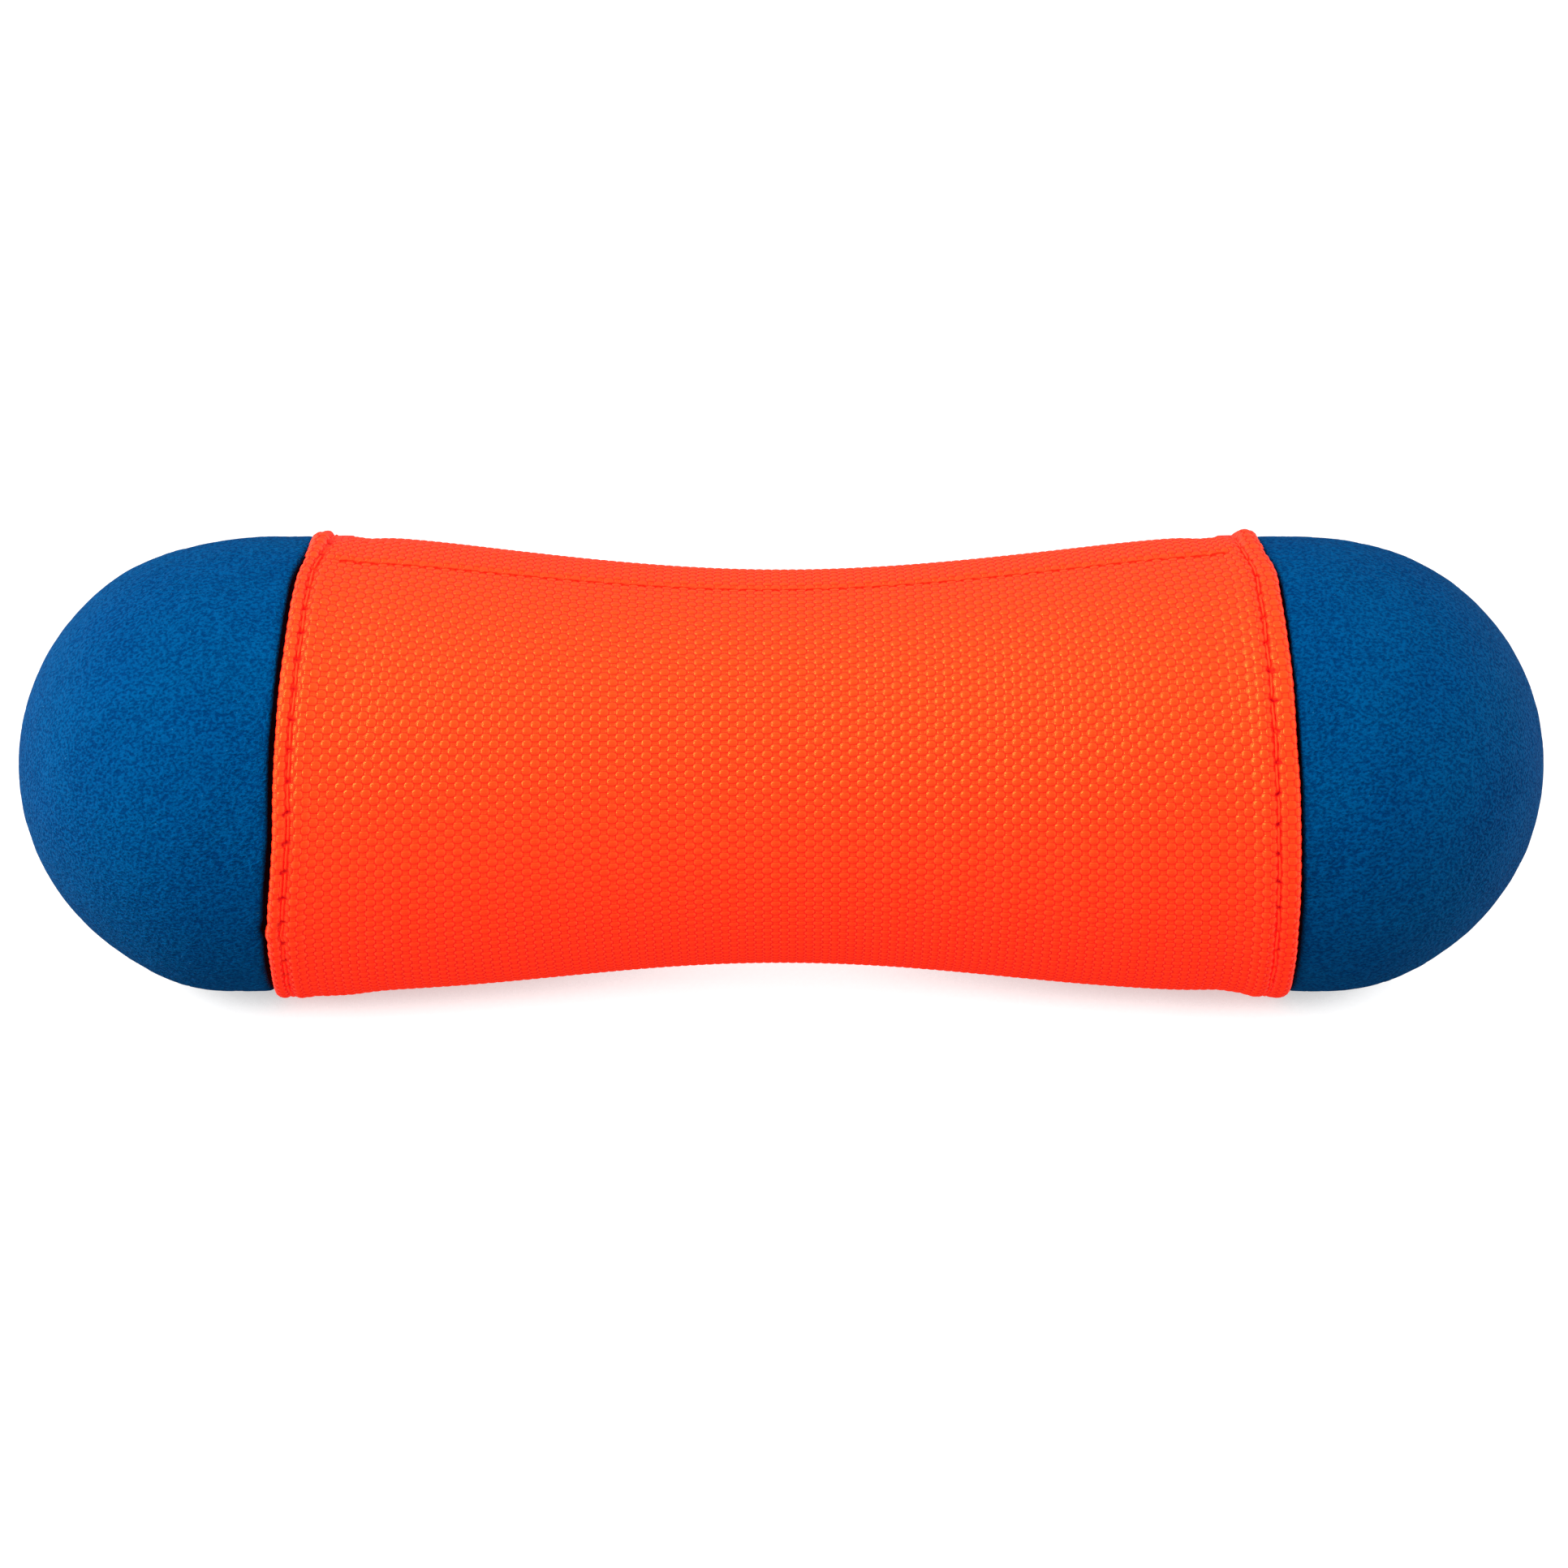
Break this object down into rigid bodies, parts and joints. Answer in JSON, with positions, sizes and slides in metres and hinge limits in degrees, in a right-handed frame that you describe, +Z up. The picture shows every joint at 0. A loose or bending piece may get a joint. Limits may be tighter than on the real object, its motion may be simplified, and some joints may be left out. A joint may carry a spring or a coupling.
{
  "type": "training bumper",
  "caption": "Waisted foam retrieving bumper with round ends and a sewn woven nylon sleeve around its middle.",
  "frame": {"origin": "on the floor, under the middle of the bumper as it lies at rest", "axes": "+X along the bumper towards the end whose hem leans less, +Z up through the sleeve's long seam, +Y to the side that the seam's second layer covers"},
  "size_m": [0.254, 0.0782, 0.0776],
  "materials": {
    "foam": "satin closed-cell foam skin with a fine leathery grain, mid blue",
    "nylon": "coarse plain-woven nylon, bright orange",
    "thread": "bonded polyester thread, bright orange"
  },
  "bodies": {
    "root": {"foam_core": "foam", "sleeve": "nylon", "left_hem_needle_thread": "thread", "left_hem_bobbin_thread": "thread", "right_hem_needle_thread": "thread", "right_hem_bobbin_thread": "thread", "long_seam_needle_thread": "thread", "long_seam_bobbin_thread": "thread"}
  },
  "joints": []
}
